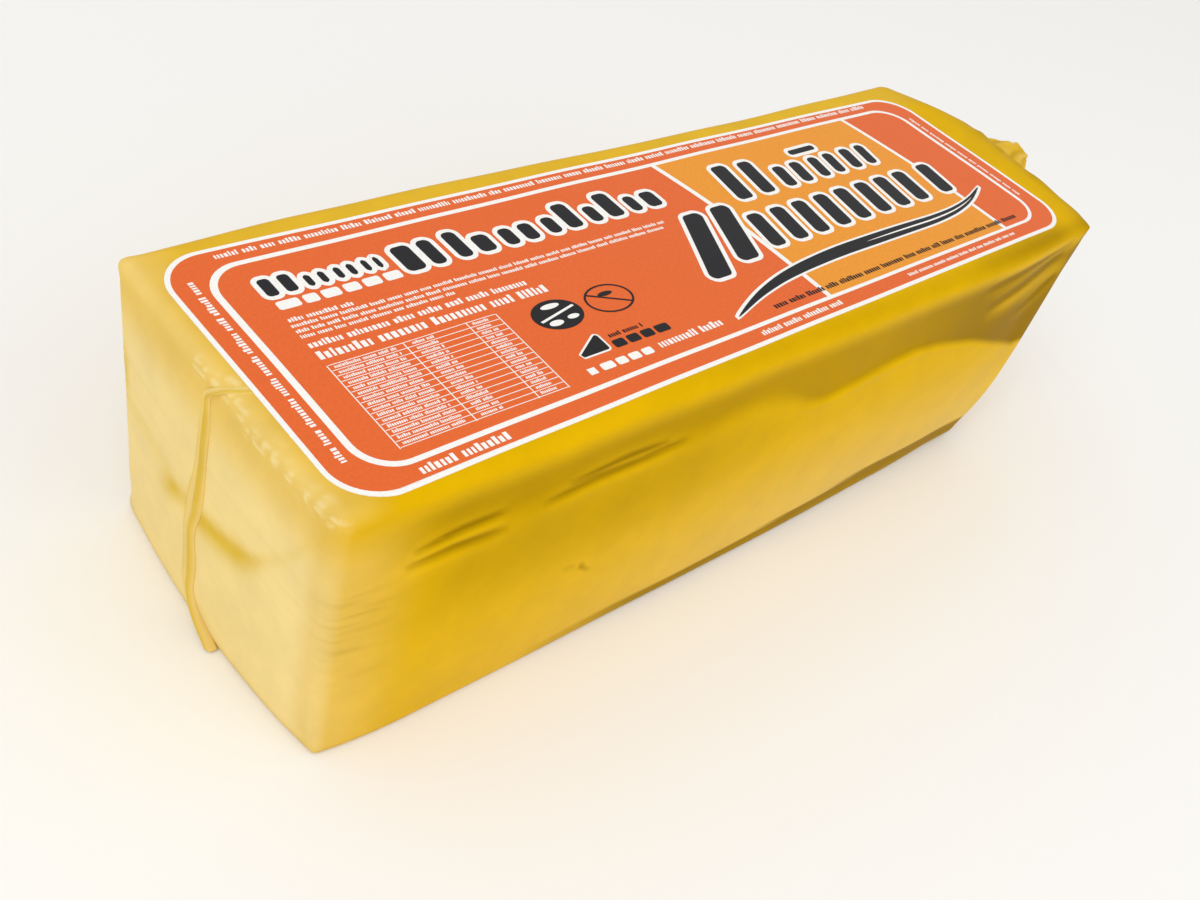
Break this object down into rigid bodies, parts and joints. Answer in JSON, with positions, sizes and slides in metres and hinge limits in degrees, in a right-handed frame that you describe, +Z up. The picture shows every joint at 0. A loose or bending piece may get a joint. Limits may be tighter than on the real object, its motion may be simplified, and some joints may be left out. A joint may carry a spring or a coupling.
{
  "type": "shrink-wrapped cheddar loaf",
  "caption": "Long rectangular loaf of processed cheddar in tight yellow film, with a large orange label on top, a film seam down one end and a gathered film tail at the other.",
  "frame": {"origin": "under the middle of the whole part, on the surface it rests on", "axes": "+X along the loaf from the seam end to the tail end, +Y to the back long side, +Z up"},
  "size_m": [0.3486, 0.1105, 0.0932],
  "materials": {
    "film": "glossy shrink film over yellow cheese",
    "label": "printed film label, satin",
    "film_fold": "glossy folded film"
  },
  "bodies": {
    "root": {"block": "film", "label": "label", "seam": "film_fold", "tail": "film_fold"}
  },
  "joints": []
}
